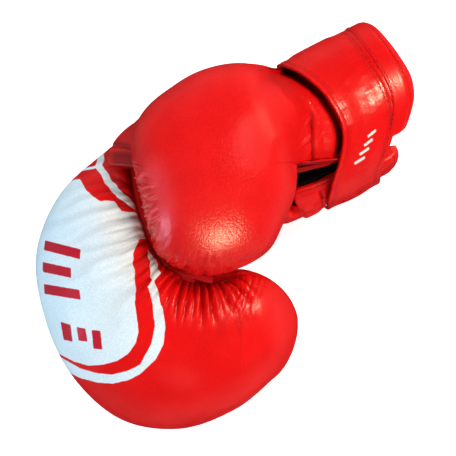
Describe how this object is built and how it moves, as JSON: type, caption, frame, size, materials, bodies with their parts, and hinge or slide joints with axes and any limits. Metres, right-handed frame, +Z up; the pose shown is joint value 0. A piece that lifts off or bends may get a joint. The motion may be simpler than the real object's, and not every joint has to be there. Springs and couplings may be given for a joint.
{
  "type": "boxing glove",
  "caption": "Right-hand boxing glove: curled padded mitt with a hinged thumb pad, a split padded cuff and a wrap-over hook-and-loop wrist strap that peels open.",
  "frame": {"origin": "on the surface the glove rests on, under the middle of its bounding box; the glove lies on its little-finger side with the thumb up", "axes": "+X from the knuckles towards the cuff mouth, +Y towards the back of the hand, +Z up towards the thumb side"},
  "size_m": [0.2817, 0.1987, 0.1483],
  "materials": {
    "red_leather": "semi-gloss grained leather",
    "red_trim": "soft satin binding",
    "moulded_foam": "matt closed-cell foam",
    "black_lining": "woven nylon",
    "loop_fabric": "brushed loop pile",
    "hook_tape": "moulded hooks",
    "bar_core": "matt rubber"
  },
  "bodies": {
    "glove": {"back_cover": "red_leather", "palm_cover": "red_leather", "back_foam": "moulded_foam", "knuckle_foam": "moulded_foam", "finger_foam": "moulded_foam", "palm_foam": "moulded_foam", "finger_pad_foam": "moulded_foam", "hand_lining": "black_lining", "grip_bar_core": "bar_core", "grip_bar_sleeve": "red_trim", "cuff_cover": "red_leather", "cuff_foam": "moulded_foam", "cuff_lining": "black_lining", "mouth_binding": "red_trim", "slit_binding_thumb_side": "red_trim", "slit_binding_little_side": "red_trim", "loop_patch": "loop_fabric", "strap_anchor": "red_leather", "thumb_lock_strip": "red_trim"},
    "thumb": {"thumb_cover": "red_leather", "thumb_underside": "red_leather", "thumb_foam": "moulded_foam", "thumb_lining": "black_lining"},
    "strap": {"strap_main_face": "red_leather", "strap_main_backing": "black_lining"},
    "strap_end": {"strap_end_face": "red_leather", "strap_end_backing": "black_lining", "hook_patch": "hook_tape", "strap_pull_tab": "red_trim"}
  },
  "joints": [
    {"name": "thumb_flex", "type": "hinge", "parent": "glove", "child": "thumb", "pos_m": [0.0534, 0.08225, 0.08], "axis": [-0.8164, 0.5775, 0], "range_deg": [0, 8], "stiffness_Nm_per_rad": 2},
    {"name": "strap_open", "type": "hinge", "parent": "glove", "child": "strap", "pos_m": [0.0934, -0.01027, 0.03896], "axis": [1, 0, 0], "range_deg": [0, 75]},
    {"name": "strap_peel", "type": "hinge", "parent": "strap", "child": "strap_end", "pos_m": [0.0934, 0.06842, 0.08587], "axis": [1, 0, 0], "range_deg": [0, 75]}
  ],
  "couplings": [
    {"joint": "strap_peel", "follows": "strap_open", "ratio": 1}
  ]
}
